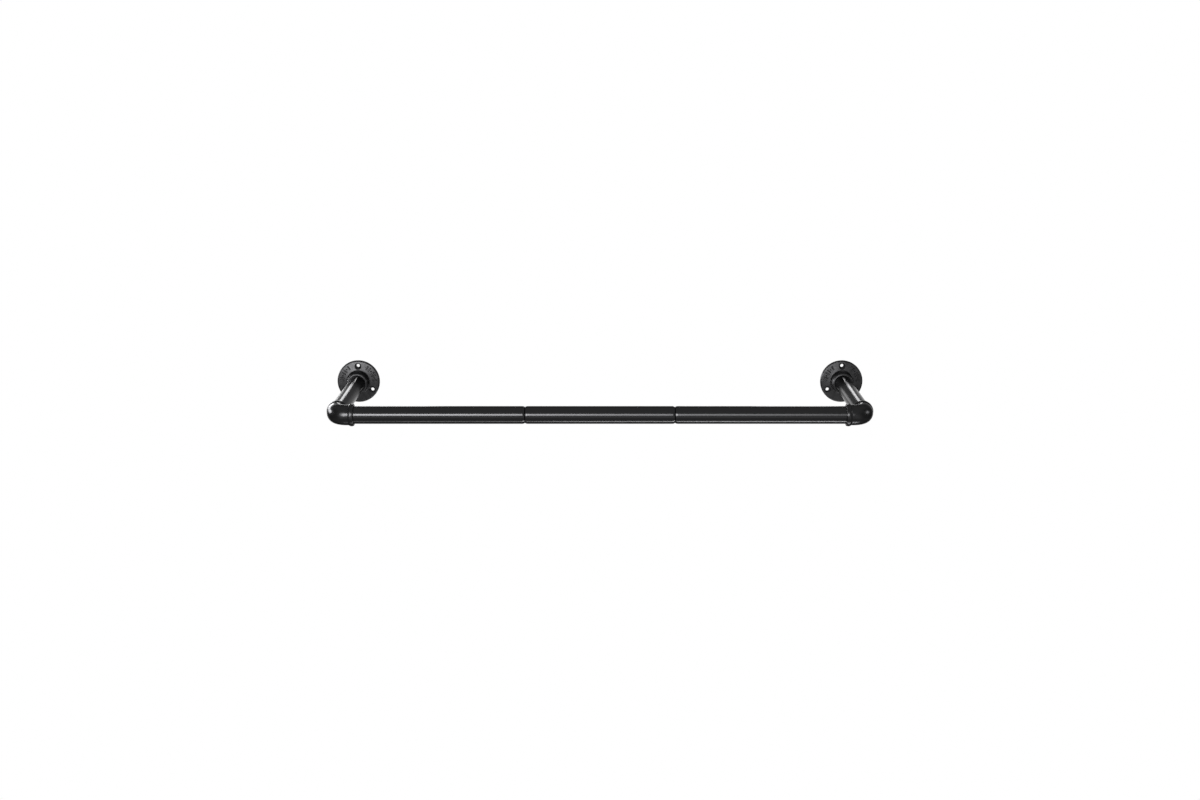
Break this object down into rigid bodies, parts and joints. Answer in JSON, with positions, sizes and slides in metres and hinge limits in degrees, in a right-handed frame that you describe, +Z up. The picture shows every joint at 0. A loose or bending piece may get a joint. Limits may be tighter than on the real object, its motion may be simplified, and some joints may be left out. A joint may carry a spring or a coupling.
{
  "type": "wall-mounted clothes rack",
  "caption": "Wall-mounted clothes rack of black screwed pipe: a horizontal hanging bar in butted sections, carried by cast elbows, arms and round wall flanges with countersunk screw holes.",
  "frame": {"origin": "on the wall plane, midway between the two flanges, at the height of the arms and the bar", "axes": "+X along the bar, to the right as seen from the room; +Y into the wall; +Z up"},
  "size_m": [0.87, 0.2773, 0.07],
  "materials": {
    "flange_iron": "matte",
    "elbow_iron": "satin",
    "pipe_coat": "satin",
    "joint_steel": "satin"
  },
  "bodies": {
    "root": {"flange_left": "flange_iron", "flange_right": "flange_iron", "arm_pipe_left": "pipe_coat", "arm_pipe_right": "pipe_coat", "elbow_left": "elbow_iron", "elbow_right": "elbow_iron", "bar_left": "pipe_coat", "bar_middle": "pipe_coat", "bar_right": "pipe_coat", "joint_insert_left": "joint_steel", "joint_insert_right": "joint_steel", "joint_stud_left": "joint_steel", "joint_stud_right": "joint_steel"}
  },
  "joints": []
}
